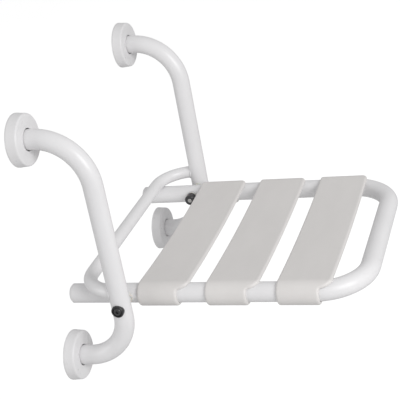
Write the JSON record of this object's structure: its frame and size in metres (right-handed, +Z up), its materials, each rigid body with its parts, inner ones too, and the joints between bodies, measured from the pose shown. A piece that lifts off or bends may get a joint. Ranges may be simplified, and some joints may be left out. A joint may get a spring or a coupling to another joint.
{
  "type": "wall-mounted fold-up shower seat",
  "caption": "White wall-mounted shower seat: bent tube side frames with round wall flanges, and a U-shaped tube seat with moulded slats that folds up against the wall.",
  "frame": {"origin": "on the wall plane, midway between the two side frames, level with the fold axis", "axes": "+X to the right of someone facing the wall, +Y into the wall, +Z up; the seat stands out along -Y"},
  "size_m": [0.549, 0.514, 0.479],
  "materials": {
    "white_coating": "smooth gloss white powder coat on steel tube",
    "white_cover": "moulded white plastic, soft gloss",
    "slat_plastic": "moulded warm white plastic, fine satin surface",
    "white_nylon": "plain white nylon",
    "black_plastic": "moulded black plastic, satin",
    "black_steel": "black-coated steel fastener",
    "bright_steel": "turned stainless steel",
    "zinc_plate": "zinc-plated steel plate, hidden by its cover"
  },
  "bodies": {
    "wall_frame": {"left_side_tube": "white_coating", "upper_left_plate": "zinc_plate", "upper_left_cover": "white_cover", "lower_left_plate": "zinc_plate", "lower_left_cover": "white_cover", "left_bolt": "black_steel", "left_head_ring": "black_plastic", "left_frame_spacer": "white_nylon", "left_washer": "bright_steel", "left_nut": "black_steel", "right_side_tube": "white_coating", "upper_right_plate": "zinc_plate", "upper_right_cover": "white_cover", "lower_right_plate": "zinc_plate", "lower_right_cover": "white_cover", "right_bolt": "black_steel", "right_head_ring": "black_plastic", "right_frame_spacer": "white_nylon", "right_washer": "bright_steel", "right_nut": "black_steel", "stop_bar": "white_coating"},
    "seat": {"seat_frame": "white_coating", "rear_slat": "slat_plastic", "middle_slat": "slat_plastic", "front_slat": "slat_plastic", "left_end_cap": "white_cover", "left_bush": "white_nylon", "left_seat_spacer": "white_nylon", "left_nut_ring": "white_nylon", "right_end_cap": "white_cover", "right_bush": "white_nylon", "right_seat_spacer": "white_nylon", "right_nut_ring": "white_nylon"}
  },
  "joints": [
    {"name": "seat_fold", "type": "hinge", "parent": "wall_frame", "child": "seat", "pos_m": [0, -0.108, 0], "axis": [-1, 0, 0], "range_deg": [0, 101]}
  ]
}
